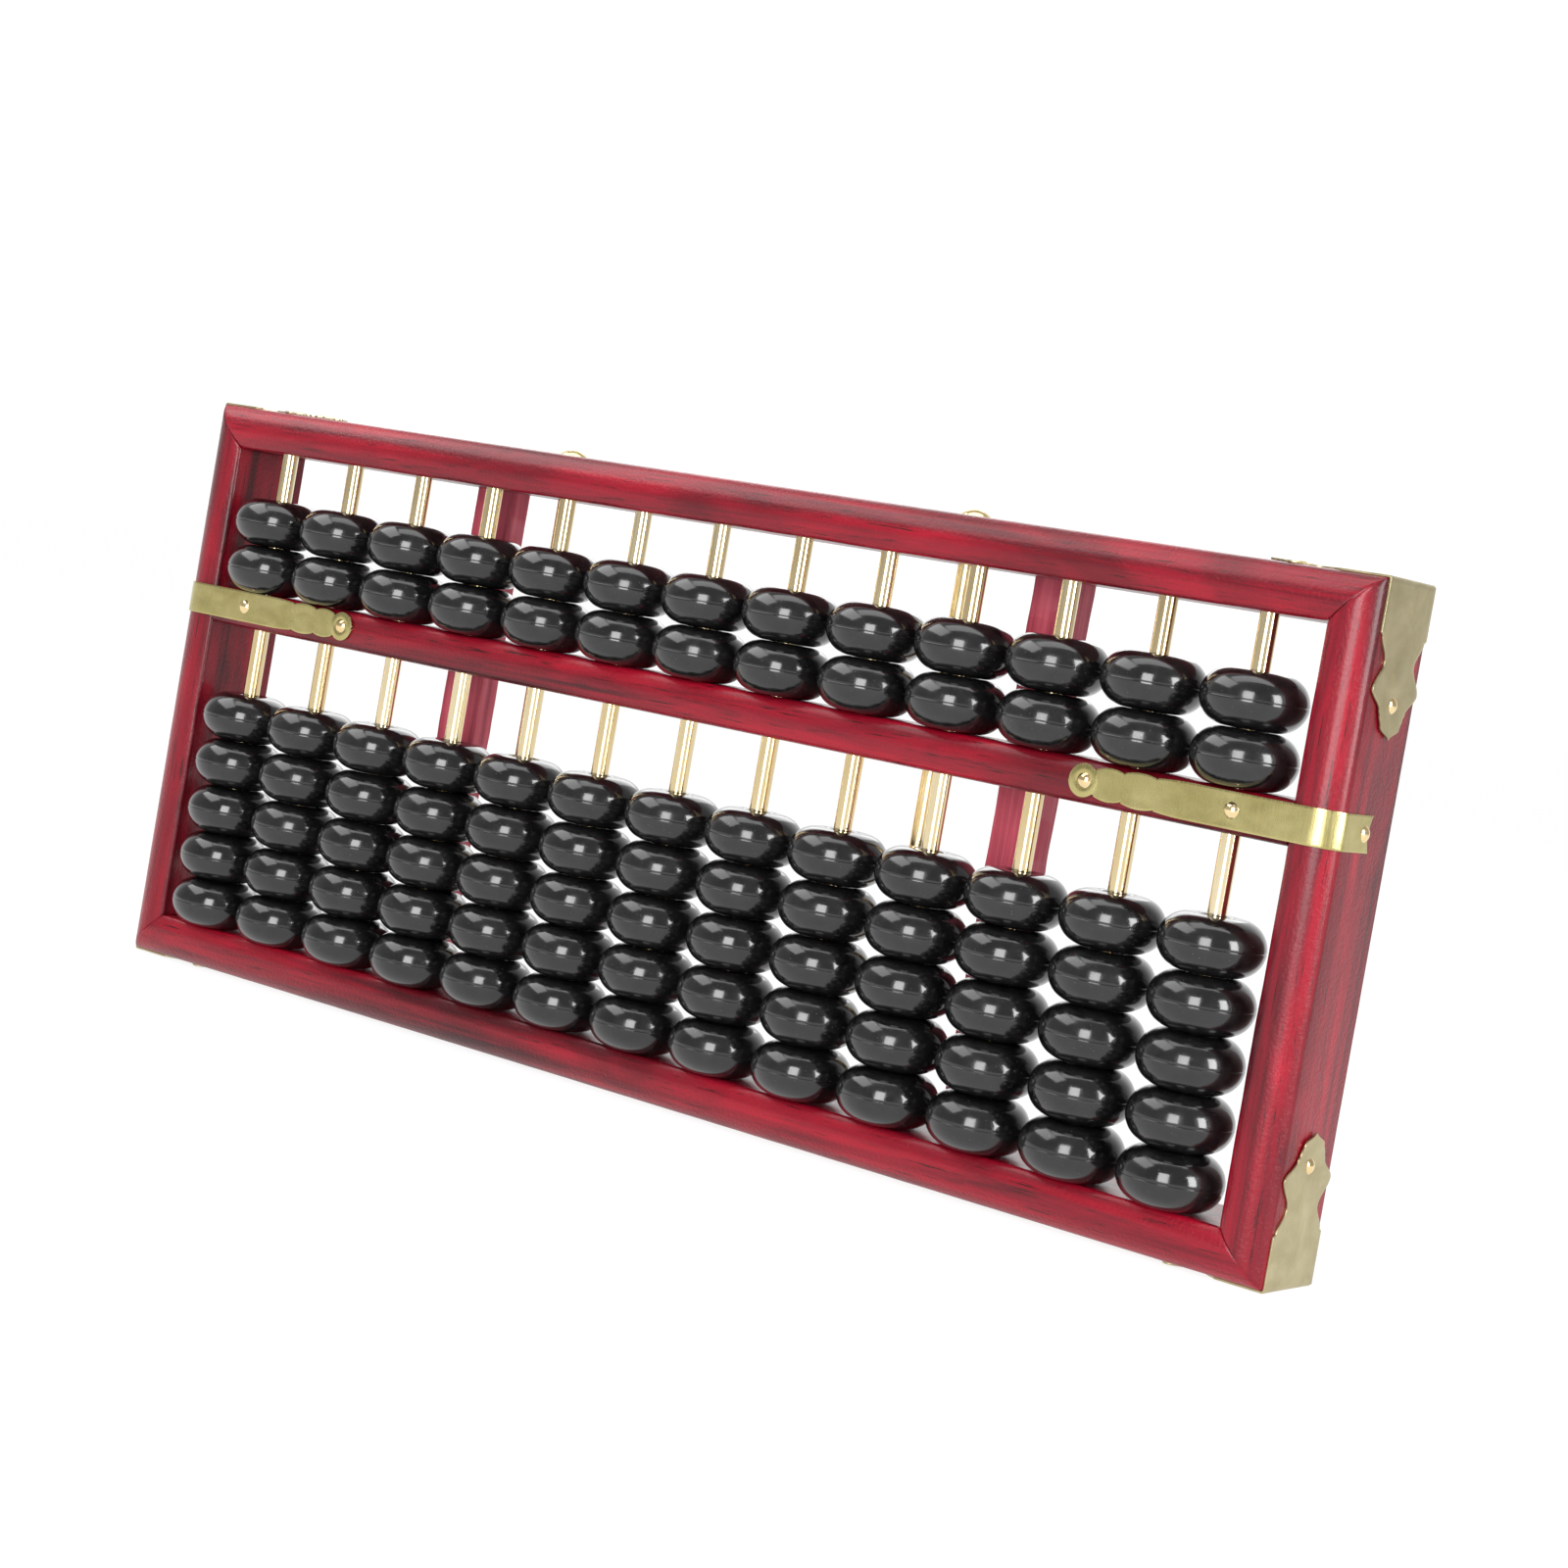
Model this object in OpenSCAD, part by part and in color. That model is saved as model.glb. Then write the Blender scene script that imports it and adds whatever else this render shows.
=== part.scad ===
// Bead abacus in a moulded wooden frame, standing on its long edge.
// +X runs along the rails, +Z up the rods, and the beads face -Y.

/* [Frame] */
// Outer width of the wooden frame
frame_w = 325; // [320:1:345]
// Outer height of the wooden frame
frame_h = 140; // [139:0.5:144]
// Depth of the flat side faces, from the arris to the back
side_d = 21; // [20:0.5:24]
// Height of a rail and width of a stile
bar_w = 10.3; // [9:0.1:10.6]
// Radius of the arched front moulding
arch_r = 7.2; // [7:0.1:8]
// Height of the dividing beam
beam_h = 9; // [8:0.5:9.5]
// Height of the beam's middle above the frame's lower edge
beam_mid = 90; // [89.5:0.1:90.5]

/* [Rods and beads] */
// Number of rods
rod_count = 13; // [13]
// Spacing of the rods
pitch = 23; // [22.5:0.1:23]
// Diameter of a rod
rod_d = 4; // [3:0.1:4.2]
// Outer diameter of a bead
bead_d = 22; // [20:0.1:22.2]
// Height of a bead between its flat ends
bead_h = 11.65; // [11:0.05:11.7]
// Diameter of the hole through a bead
bead_hole_d = 4.6; // [4.5:0.1:5]

/* [Fittings] */
// Thickness of the sheet brass
sheet_t = 0.5; // [0.4:0.1:0.8]
// Length of a corner bracket's arm
bracket_arm = 31; // [29:0.5:34]
// Height of the strap over the beam
strap_h = 7.5; // [7:0.1:7.8]
// Length of the strap along the front
strap_len = 60; // [58:0.5:62]
// Length of the strap on the side face
strap_side = 11; // [9:0.5:14]
// Diameter of a tie rod
tie_d = 4.2; // [3.5:0.1:4.4]
// Diameter of a tie rod's domed head
tie_head_d = 7.6; // [7:0.1:9]
// Height of a tie rod's domed head
tie_head_h = 2.2; // [1.5:0.1:3]
// Width of a back batten
batten_w = 12; // [11:0.5:13]
// Thickness of a back batten
batten_t = 6.5; // [5:0.5:6.5]

/* [Hidden] */
LOWER = 5;                                   // beads below the beam on each rod
UPPER = 2;                                   // beads above the beam on each rod
stack_gap = 0.1;                             // air between neighbouring beads
seat_gap = 0.15;                             // air under and over a stack
rod_behind_arris = 1.5;                      // the rods stand just behind the arris
fit_gap = 0.05;                              // glued rod in its blind hole
rod_seat = 6;                                // depth of a rod's blind hole
batten_end = 5;                              // wood left outside a batten's end

front_y = rod_behind_arris - bead_d / 2;     // foremost point, from the arris
arris_y = -(side_d + front_y) / 2;           // puts the depth's middle on Y = 0
back_y = arris_y + side_d;
rod_y = arris_y + rod_behind_arris;
base_z = sheet_t;                            // the wood stands on the bottom brackets
top_z = base_z + frame_h;
mid_z = base_z + frame_h / 2;
arch_u = bar_w * 0.6;                        // crown of the moulding, across the bar
arch_v = sqrt(arch_r * arch_r - arch_u * arch_u);
crown_y = arris_y + arch_v - arch_r;
beam_lo = base_z + beam_mid - beam_h / 2;
beam_hi = beam_lo + beam_h;
beam_r = 8;                                  // radius of the beam's rounded front
beam_len = frame_w - 2 * bar_w;
well_lo = base_z + bar_w;                    // inner edges of the two rails
well_hi = top_z - bar_w;
step = bead_h + stack_gap;
tie_x = 2.5 * pitch;
tie_y = back_y - batten_t;                   // in line with the battens' fronts
beam_back = tie_y - tie_d / 2 - 0.4;         // the beam ends in front of the tie rods
batten_x = 3.5 * pitch;
nail_d = 1.2;
nail_head_d = 3.4;
nail_head_h = 0.8;
nail_len = 7;
brad_len = 3;                                // short nails that stop in front of the rods
nail_hole_d = nail_d + 0.1;
nail_at = 24.3;                              // bracket nail, from the corner
mid_y = arris_y + side_d / 2;
plate_half = side_d / 2 - 0.3;               // half width of a bracket arm
strap_z = base_z + beam_mid + 0.25;
left_raise = 0.5;                            // the left strap is nailed on a little higher
strap_end_r = 3.4;
strap_neck = 6.3;                            // the round end's neck meets the first lobe here
strap_neck_half = 2.5;
strap_waist = 12.8;                          // between the two lobes
strap_full = 20.4;                           // the plain strip starts here
strap_ease = 7;                              // its first stretch swells to the full height
strap_nails = [3.6, 37.4];                   // along the strap, from its round end
strap_side_nail = 8.6;
notch_d = 7.2;                               // circle that bites the swallow-tail end
notch_out = 2.6;                             // its middle, past the end
split = [1, 2, 3, 4];                        // beads in the part of a lower stack that lifts alone

function rod_x(i) = (i - (rod_count + 1) / 2) * pitch;
function lifting(i) = split[(i - 1) % 4];
function lower_z(n) = well_lo + seat_gap + n * step;
function upper_z(n) = beam_hi + seat_gap + n * step;

// ---- wooden frame ----

// Section of a frame bar: X across the bar from its outer edge, Y into the depth
module bar_section() {
  intersection() {
    translate([0, -arch_r]) square([bar_w, side_d + arch_r]);
    union() {
      translate([arch_u, arch_v]) circle(r = arch_r, $fn = 96);
      translate([-arch_r, arch_v]) square([4 * arch_r, side_d - arch_v]);
    }
  }
}

// Trapezium in XZ that leaves a mitre at both ends of a bar of this length
module mitre(length) {
  translate([0, back_y + 5, 0]) rotate([90, 0, 0]) linear_extrude(4 * side_d)
    polygon([[-length / 2, 0], [length / 2, 0], [length / 2 - bar_w, bar_w], [bar_w - length / 2, bar_w]]);
}

// Bottom rail with its rod holes, batten notches and tie rod holes
module lower_bar() {
  difference() {
    intersection() {
      translate([frame_w / 2, arris_y, base_z]) rotate([0, -90, 0]) linear_extrude(frame_w) bar_section();
      translate([0, 0, base_z]) mitre(frame_w);
    }
    for (i = [1:rod_count])
      translate([rod_x(i), rod_y, well_lo - rod_seat])
        cylinder(d = rod_d + 2 * fit_gap, h = rod_seat + 1, $fn = 48);
    for (s = [-1, 1]) {
      translate([s * batten_x - batten_w / 2, back_y - batten_t, base_z + batten_end])
        cube([batten_w, batten_t + 1, bar_w]);
      translate([s * tie_x, tie_y, base_z - 1]) cylinder(d = tie_d + 2 * fit_gap, h = bar_w + 2, $fn = 48);
    }
  }
}

// Left stile, mitred at both ends
module side_bar() {
  intersection() {
    translate([-frame_w / 2, arris_y, base_z]) linear_extrude(frame_h) bar_section();
    translate([-frame_w / 2, 0, mid_z]) rotate([0, 90, 0]) mitre(frame_h);
  }
}

module flip_z() {
  translate([0, 0, 2 * mid_z]) mirror([0, 0, 1]) children();
}

module bottom_rail() { color("firebrick") lower_bar(); }
module top_rail() { color("firebrick") flip_z() lower_bar(); }
module left_stile() { color("firebrick") side_bar(); }
module right_stile() { color("firebrick") mirror([1, 0, 0]) side_bar(); }

// Dividing beam with a rounded front, bored for every rod
module beam() {
  color("firebrick") difference() {
    translate([-beam_len / 2, 0, 0]) rotate([90, 0, 90]) linear_extrude(beam_len)
      intersection() {
        translate([crown_y, beam_lo]) square([beam_back - crown_y, beam_h]);
        union() {
          translate([crown_y + beam_r, base_z + beam_mid]) circle(r = beam_r, $fn = 96);
          translate([crown_y + beam_r, beam_lo - 5]) square([30, beam_h + 10]);
        }
      }
    for (i = [1:rod_count])
      translate([rod_x(i), rod_y, beam_lo - 1]) cylinder(d = rod_d + 2 * fit_gap, h = beam_h + 2, $fn = 48);
  }
}

module batten(side) {
  color("indianred") translate([side * batten_x - batten_w / 2, back_y - batten_t, base_z + batten_end])
    cube([batten_w, batten_t, frame_h - 2 * batten_end]);
}
module back_batten_left() { batten(-1); }
module back_batten_right() { batten(1); }

// ---- metal rods ----

module rods() {
  color("gold") for (i = [1:rod_count])
    translate([rod_x(i), rod_y, well_lo - rod_seat])
      cylinder(d = rod_d, h = well_hi - well_lo + 2 * rod_seat, $fn = 48);
}

// Domed head whose flat side lies on Z = 0
module dome(d, h) {
  ball = (d * d / 4 + h * h) / (2 * h);
  intersection() {
    translate([0, 0, h - ball]) sphere(r = ball, $fn = 64);
    cylinder(d = d + 1, h = h + 1, $fn = 64);
  }
}

// Tie rod through both rails, domed above and riveted flush below
module tie_rod(side) {
  color("gold") translate([side * tie_x, tie_y, 0]) {
    translate([0, 0, base_z]) cylinder(d = tie_d, h = frame_h, $fn = 48);
    translate([0, 0, top_z]) dome(tie_head_d, tie_head_h);
  }
}
module tie_rod_left() { tie_rod(-1); }
module tie_rod_right() { tie_rod(1); }

// ---- brass fittings ----

// Half width of a bracket arm at a distance from the corner: straight, waist, lobe, pointed tip
arm_stations = [
  [0, 1], [0.35, 1], [0.36, 0.92], [0.52, 0.65], [0.7, 0.97], [0.83, 0.56], [0.86, 0.5], [0.93, 0.4], [1, 0.01]
];
function ease(t) = (1 - cos(180 * t)) / 2;
function arm_width(s, k = 0) =
  s <= arm_stations[k + 1][0]
    ? arm_stations[k][1] + (arm_stations[k + 1][1] - arm_stations[k][1])
      * ease((s - arm_stations[k][0]) / (arm_stations[k + 1][0] - arm_stations[k][0]))
    : arm_width(s, k + 1);

// Flat arm outline, along +X from the corner and centred on Y
module arm_outline() {
  n = 48;
  difference() {
    polygon(concat(
      [for (i = [0:n]) [bracket_arm * i / n, plate_half * arm_width(i / n)]],
      [for (i = [n:-1:0]) [bracket_arm * i / n, -plate_half * arm_width(i / n)]]
    ));
    translate([nail_at, 0]) circle(d = nail_hole_d, $fn = 32);
  }
}

// Bracket on the bottom left corner: one arm on the side face, one under the rail
module corner_bracket() {
  x0 = -frame_w / 2;
  color("darkkhaki") {
    translate([x0, mid_y, base_z]) rotate([0, -90, 0]) linear_extrude(sheet_t) arm_outline();
    translate([x0, mid_y, 0]) linear_extrude(sheet_t) arm_outline();
    translate([x0 - sheet_t, mid_y - plate_half, 0]) cube([sheet_t, 2 * plate_half, sheet_t]);
  }
}
module bracket_bottom_left() { corner_bracket(); }
module bracket_bottom_right() { mirror([1, 0, 0]) corner_bracket(); }
module bracket_top_left() { flip_z() corner_bracket(); }
module bracket_top_right() { flip_z() mirror([1, 0, 0]) corner_bracket(); }

// Nail along +Z with its head on Z = 0
module nail(length = nail_len) {
  translate([0, 0, -length]) cylinder(d = nail_d, h = length, $fn = 32);
  dome(nail_head_d, nail_head_h);
}

// Eight nails, sunk flush where the brackets meet the table
module bracket_nails() {
  color("gold") for (s = [-1, 1]) {
    for (z = [base_z + nail_at, top_z - nail_at])
      translate([s * (frame_w / 2 + sheet_t), mid_y, z]) rotate([0, 90 * s, 0]) nail();
    translate([s * (frame_w / 2 - nail_at), mid_y, top_z + sheet_t]) nail();
    translate([s * (frame_w / 2 - nail_at), mid_y, nail_head_h]) rotate([180, 0, 0]) nail();
  }
}

// Stretch of the strap's outline between two waists, bulging to this half height in its middle
module lobe(from, to, middle, waist) {
  rise = middle - waist;
  r = ((to - from) * (to - from) / 4 + rise * rise) / (2 * rise);
  intersection() {
    translate([(from + to) / 2, middle - r]) circle(r = r, $fn = 128);
    translate([(from + to) / 2, r - middle]) circle(r = r, $fn = 128);
    translate([from, -strap_h]) square([to - from, 2 * strap_h]);
  }
}

// Front outline of the right-hand strap: X from its round end, Y centred
module strap_front() {
  half = strap_h / 2;
  union() {
    translate([strap_end_r, 0]) circle(r = strap_end_r, $fn = 48);
    translate([strap_end_r, -strap_neck_half]) square([strap_full - strap_end_r, 2 * strap_neck_half]);
    lobe(strap_neck, strap_waist, half - 0.3, half - 0.95);
    lobe(strap_waist, strap_full, half - 0.05, half - 0.65);
    lobe(strap_full, strap_full + 2 * strap_ease, half, half - 0.4);
    translate([strap_full + strap_ease, -half])
      square([strap_len - arch_u - strap_full - strap_ease, strap_h]);
  }
}

// Strap along the beam, over the stile's moulding and back along its side
module strap() {
  arc_x = frame_w / 2 - arch_u;
  arc_end = frame_w / 2 + sheet_t;
  end_x = frame_w / 2 - strap_len;
  lap = 0.4;                                 // the curved part runs on into the side part
  color("goldenrod") difference() {
    union() {
      translate([end_x, crown_y, 0]) rotate([90, 0, 0]) linear_extrude(sheet_t) strap_front();
      translate([0, 0, -strap_h / 2]) linear_extrude(strap_h) intersection() {
        translate([arc_x, arris_y + arch_v]) difference() {
          circle(r = arch_r + sheet_t, $fn = 128);
          circle(r = arch_r, $fn = 128);
        }
        translate([arc_x, arris_y - arch_r]) square([arc_end - arc_x, arch_r + lap]);
      }
      translate([frame_w / 2, arris_y, -strap_h / 2]) cube([sheet_t, strap_side, strap_h]);
    }
    for (a = strap_nails)
      translate([end_x + a, crown_y + sheet_t, 0]) rotate([90, 0, 0])
        cylinder(d = nail_hole_d, h = 3 * sheet_t, $fn = 32);
    translate([frame_w / 2 - sheet_t, arris_y + strap_side_nail, 0]) rotate([0, 90, 0])
      cylinder(d = nail_hole_d, h = 3 * sheet_t, $fn = 32);
    translate([frame_w / 2 - sheet_t, arris_y + strap_side + notch_out, 0]) rotate([0, 90, 0])
      cylinder(d = notch_d, h = 3 * sheet_t, $fn = 48);
  }
}
module beam_strap_right() { translate([0, 0, strap_z]) strap(); }
module beam_strap_left() { translate([0, 0, strap_z + left_raise]) mirror([1, 0, 0]) strap(); }

module strap_nail_set() {
  color("gold") for (s = [-1, 1]) {
    z = strap_z + (s < 0 ? left_raise : 0);
    for (a = strap_nails)
      translate([s * (frame_w / 2 - strap_len + a), crown_y - sheet_t, z]) rotate([90, 0, 0]) nail(brad_len);
    translate([s * (frame_w / 2 + sheet_t), arris_y + strap_side_nail, z]) rotate([0, 90 * s, 0]) nail();
  }
}

// ---- beads ----

side_r = bead_h / 2;                         // half-round rim of a bead
rim_c = bead_d / 2 - side_r;                 // radius at which its flat ends stop

// Half section of a bead: X is the radius
module bead_section() {
  difference() {
    union() {
      translate([0, -bead_h / 2]) square([rim_c, bead_h]);
      translate([rim_c, 0]) circle(r = side_r, $fn = 96);
    }
    translate([-bead_d, -bead_h]) square([bead_d + bead_hole_d / 2, 2 * bead_h]);
  }
}
module bead() { rotate_extrude($fn = 96) bead_section(); }

// A stack of touching beads on rod i, the lowest one's flat end at z
module stack(i, count, z) {
  color([0.09, 0.09, 0.1]) for (n = [0:count - 1])
    translate([rod_x(i), rod_y, z + n * step + bead_h / 2]) bead();
}
module upper(i) { stack(i, UPPER, upper_z(0)); }
module base(i) { stack(i, LOWER - lifting(i), lower_z(0)); }
module lift(i) { stack(i, lifting(i), lower_z(LOWER - lifting(i))); }

left_stile();
right_stile();
top_rail();
bottom_rail();
beam();
back_batten_left();
back_batten_right();
rods();
tie_rod_left();
tie_rod_right();
bracket_top_left();
bracket_top_right();
bracket_bottom_left();
bracket_bottom_right();
beam_strap_left();
beam_strap_right();
bracket_nails();
strap_nail_set();
upper(1);  // beads_01_upper
upper(2);  // beads_02_upper
upper(3);  // beads_03_upper
upper(4);  // beads_04_upper
upper(5);  // beads_05_upper
upper(6);  // beads_06_upper
upper(7);  // beads_07_upper
upper(8);  // beads_08_upper
upper(9);  // beads_09_upper
upper(10);  // beads_10_upper
upper(11);  // beads_11_upper
upper(12);  // beads_12_upper
upper(13);  // beads_13_upper
lift(1);  // beads_01_lift
lift(2);  // beads_02_lift
lift(3);  // beads_03_lift
lift(4);  // beads_04_lift
lift(5);  // beads_05_lift
lift(6);  // beads_06_lift
lift(7);  // beads_07_lift
lift(8);  // beads_08_lift
lift(9);  // beads_09_lift
lift(10);  // beads_10_lift
lift(11);  // beads_11_lift
lift(12);  // beads_12_lift
lift(13);  // beads_13_lift
base(1);  // beads_01_base
base(2);  // beads_02_base
base(3);  // beads_03_base
base(4);  // beads_04_base
base(5);  // beads_05_base
base(6);  // beads_06_base
base(7);  // beads_07_base
base(8);  // beads_08_base
base(9);  // beads_09_base
base(10);  // beads_10_base
base(11);  // beads_11_base
base(12);  // beads_12_base
base(13);  // beads_13_base
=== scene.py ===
"""Looks of the bead abacus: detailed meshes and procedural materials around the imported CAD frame."""

import math
import random

import bmesh
import bpy
from mathutils import Matrix, Vector, noise


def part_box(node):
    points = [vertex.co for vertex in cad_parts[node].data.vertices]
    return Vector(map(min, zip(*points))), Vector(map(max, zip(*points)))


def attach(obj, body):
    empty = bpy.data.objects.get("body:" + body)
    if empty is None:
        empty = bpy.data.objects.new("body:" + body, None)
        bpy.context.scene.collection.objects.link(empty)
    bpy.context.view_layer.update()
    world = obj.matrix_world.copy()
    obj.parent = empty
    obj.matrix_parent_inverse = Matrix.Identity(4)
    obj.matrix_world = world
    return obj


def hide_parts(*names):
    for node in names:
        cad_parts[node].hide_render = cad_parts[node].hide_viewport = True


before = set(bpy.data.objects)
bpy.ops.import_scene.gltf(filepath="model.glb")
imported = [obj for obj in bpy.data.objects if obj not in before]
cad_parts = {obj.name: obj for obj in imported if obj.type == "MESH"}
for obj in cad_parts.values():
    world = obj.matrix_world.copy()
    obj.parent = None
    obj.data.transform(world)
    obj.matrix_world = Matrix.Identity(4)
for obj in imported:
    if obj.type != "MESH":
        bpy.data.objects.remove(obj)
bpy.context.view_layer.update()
MM = 0.001

# ---- sizes: taken from the frame where it has them ----
# The front of a frame bar is an arc. Its centre is ARCH_U in from the outer edge and ARCH_V behind the arris.
# EASE softens back edges. SHEET_T is the brass's thickness, and nail heads sit SHEET_FACE out from the wood.
STILE_LO, STILE_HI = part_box("left_stile")
BAR_W = STILE_HI.x - STILE_LO.x
HALF_W = -STILE_LO.x
BASE_Z = STILE_LO.z
TOP_Z = STILE_HI.z
HEIGHT = TOP_Z - BASE_Z
CROWN_Y = STILE_LO.y
BACK_Y = STILE_HI.y
ARCH_R = 7.2 * MM
ARCH_U = 0.6 * BAR_W
ARCH_V = math.sqrt(ARCH_R**2 - ARCH_U**2)
ARRIS_Y = CROWN_Y + ARCH_R - ARCH_V
SIDE_D = BACK_Y - ARRIS_Y
MID_Y = (ARRIS_Y + BACK_Y) / 2
BEAD_LO, BEAD_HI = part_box("beads_01_lift")
BEAD_R = (BEAD_HI.x - BEAD_LO.x) / 2
BEAD_H = BEAD_HI.z - BEAD_LO.z
ROD_Y = (BEAD_LO.y + BEAD_HI.y) / 2
ROD_COUNT = 13
ROD_R = 2.0 * MM
BEAM_LO, BEAM_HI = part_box("beam")
BEAM_FRONT_R = 8 * MM
TIE_ROD_R = 2.1 * MM
EASE = 0.4 * MM
SHEET_T = 0.42 * MM
SHEET_FACE = 0.45 * MM


# ---- mesh helpers ----
def smooth_mesh(name, bm, material):
    """Turns bm into a smooth-shaded mesh with one material."""
    mesh = bpy.data.meshes.new(name)
    bm.to_mesh(mesh)
    bm.free()
    for polygon in mesh.polygons:
        polygon.use_smooth = True
    mesh.materials.append(material)
    return mesh


def place_piece(name, mesh, body, node):
    """Puts a mesh in the scene as a piece that rides on a body and stands for one CAD node."""
    piece = bpy.data.objects.new(name, mesh)
    bpy.context.scene.collection.objects.link(piece)
    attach(piece, body)
    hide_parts(node)
    return piece


def add_solid(name, bm, material, body, node, smooth_deg=35):
    """Adds a closed piece, with a sharp edge wherever its faces turn by more than smooth_deg."""
    bmesh.ops.recalc_face_normals(bm, faces=bm.faces)
    mesh = smooth_mesh(name, bm, material)
    mesh.set_sharp_from_angle(angle=math.radians(smooth_deg))
    place_piece(name, mesh, body, node)


def add_sheet(name, bm, material, node, outward, edge):
    """Adds an open sheet, thickened away from the wood, with its cut edges softened by edge."""
    bmesh.ops.recalc_face_normals(bm, faces=bm.faces)
    if sum((f.normal.dot(outward) for f in bm.faces), 0.0) < 0:
        bmesh.ops.reverse_faces(bm, faces=bm.faces)
    piece = place_piece(name, smooth_mesh(name, bm, material), "frame", node)
    solid = piece.modifiers.new("thickness", "SOLIDIFY")
    solid.thickness = SHEET_T
    solid.offset = 1
    solid.use_even_offset = True
    bevel = piece.modifiers.new("edge", "BEVEL")
    bevel.width = edge
    bevel.segments = 2
    bevel.limit_method = "ANGLE"
    bevel.angle_limit = math.radians(50)


def grid(bm, rows, closed=False):
    """Joins rows of points into quads. closed joins each row's ends."""
    made = [[bm.verts.new(p) for p in row] for row in rows]
    for a, b in zip(made, made[1:]):
        count = len(a)
        for k in range(count if closed else count - 1):
            n = (k + 1) % count
            bm.faces.new((a[k], a[n], b[n], b[k]))
    return made


def capped_bar(bm, rows):
    """Joins closed rows of points into a bar and caps both ends."""
    made = grid(bm, rows, closed=True)
    bm.faces.new(made[0])
    bm.faces.new(reversed(made[-1]))


def sweep(bm, section, place, start, end, steps):
    """Sweeps a closed section of (u, v) points in equal steps from start to end."""
    rows = []
    for k in range(steps + 1):
        t = k / steps
        rows.append([place(start * (1 - t) + end * t, u, v) for u, v in section])
    capped_bar(bm, rows)


def lathe(bm, profile, centre, turn=Matrix.Identity(3), segments=48, closed=True):
    """Turns (radius, height) points round the local Z axis at centre. closed joins the profile's ends."""
    made = []
    for k in range(segments):
        a = 2 * math.pi * k / segments
        row = [centre + turn @ Vector((r * math.cos(a), r * math.sin(a), h)) for r, h in profile]
        made.append([bm.verts.new(p) for p in row])
    made.append(made[0])
    count = len(profile)
    for a, b in zip(made, made[1:]):
        for k in range(count if closed else count - 1):
            n = (k + 1) % count
            bm.faces.new((a[k], b[k], b[n], a[n]))


def arc(cu, cv, r, a0, a1, count):
    """Points on an arc, with angles in degrees."""
    step = (a1 - a0) / count
    return [
        (cu + r * math.cos(math.radians(a0 + step * k)), cv + r * math.sin(math.radians(a0 + step * k)))
        for k in range(count + 1)
    ]


def columns(half_count):
    """Evenly spaced places across a sheet, from -1 to 1."""
    return [k / half_count - 1 for k in range(2 * half_count + 1)]


# ---- material helpers ----
def set_inputs(node, values):
    """Sets a node's input values by name."""
    for key, value in values.items():
        node.inputs[key].default_value = value


class Shader:
    """A small builder for a Principled material."""

    def __init__(self, name, **values):
        self.material = bpy.data.materials.new(name)
        self.material.use_nodes = True
        self.tree = self.material.node_tree
        self.bsdf = self.tree.nodes["Principled BSDF"]
        self.coords = self.tree.nodes.new("ShaderNodeTexCoord").outputs["Object"]
        self.set(**values)

    def set(self, **values):
        set_inputs(self.bsdf, {key.replace("_", " "): value for key, value in values.items()})

    def link(self, source, target):
        self.tree.links.new(source, target)

    def mapped(self, scale, rotation=(0, 0, 0)):
        node = self.tree.nodes.new("ShaderNodeMapping")
        set_inputs(node, {"Scale": scale, "Rotation": rotation})
        self.link(self.coords, node.inputs["Vector"])
        return node.outputs["Vector"]

    def noise(self, vector, scale=1.0, detail=4.0, rough=0.55, distort=0.0):
        node = self.tree.nodes.new("ShaderNodeTexNoise")
        set_inputs(node, {"Scale": scale, "Detail": detail, "Roughness": rough, "Distortion": distort})
        self.link(vector, node.inputs["Vector"])
        return node.outputs["Fac"]

    def ramp(self, factor, *stops):
        """Colours from (position, colour) stops."""
        node = self.tree.nodes.new("ShaderNodeValToRGB")
        elements = node.color_ramp.elements
        while len(elements) < len(stops):
            elements.new(0.5)
        for element, (position, colour) in zip(elements, stops):
            element.position = position
            element.color = (*colour, 1)
        self.link(factor, node.inputs["Fac"])
        return node.outputs["Color"]

    def mix(self, factor, a, b, mode="MIX"):
        node = self.tree.nodes.new("ShaderNodeMix")
        node.data_type = "RGBA"
        node.blend_type = mode
        for value, index in ((factor, 0), (a, 6), (b, 7)):
            if isinstance(value, (float, int)):
                node.inputs[index].default_value = value
            elif isinstance(value, tuple):
                node.inputs[index].default_value = (*value, 1)
            else:
                self.link(value, node.inputs[index])
        return node.outputs[2]

    def range(self, value, low, high, start=0.0, stop=1.0):
        """Maps start to stop onto low to high."""
        node = self.tree.nodes.new("ShaderNodeMapRange")
        set_inputs(node, {"From Min": start, "From Max": stop, "To Min": low, "To Max": high})
        self.link(value, node.inputs["Value"])
        return node.outputs["Result"]

    def bump(self, *layers):
        """Stacks (height, strength, distance in metres) layers."""
        normal = None
        for height, strength, distance in layers:
            node = self.tree.nodes.new("ShaderNodeBump")
            set_inputs(node, {"Strength": strength, "Distance": distance})
            self.link(height, node.inputs["Height"])
            if normal:
                self.link(normal, node.inputs["Normal"])
            normal = node.outputs["Normal"]
        self.link(normal, self.bsdf.inputs["Normal"])

    def finish(self, colour=None, rough=None):
        if colour:
            self.link(colour, self.bsdf.inputs["Base Color"])
        if rough:
            self.link(rough, self.bsdf.inputs["Roughness"])
        return self.material


def along(axis, grain, across):
    """A mapping scale that is low along the grain and high across it."""
    return tuple(grain if k == axis else across for k in range(3))


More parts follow.
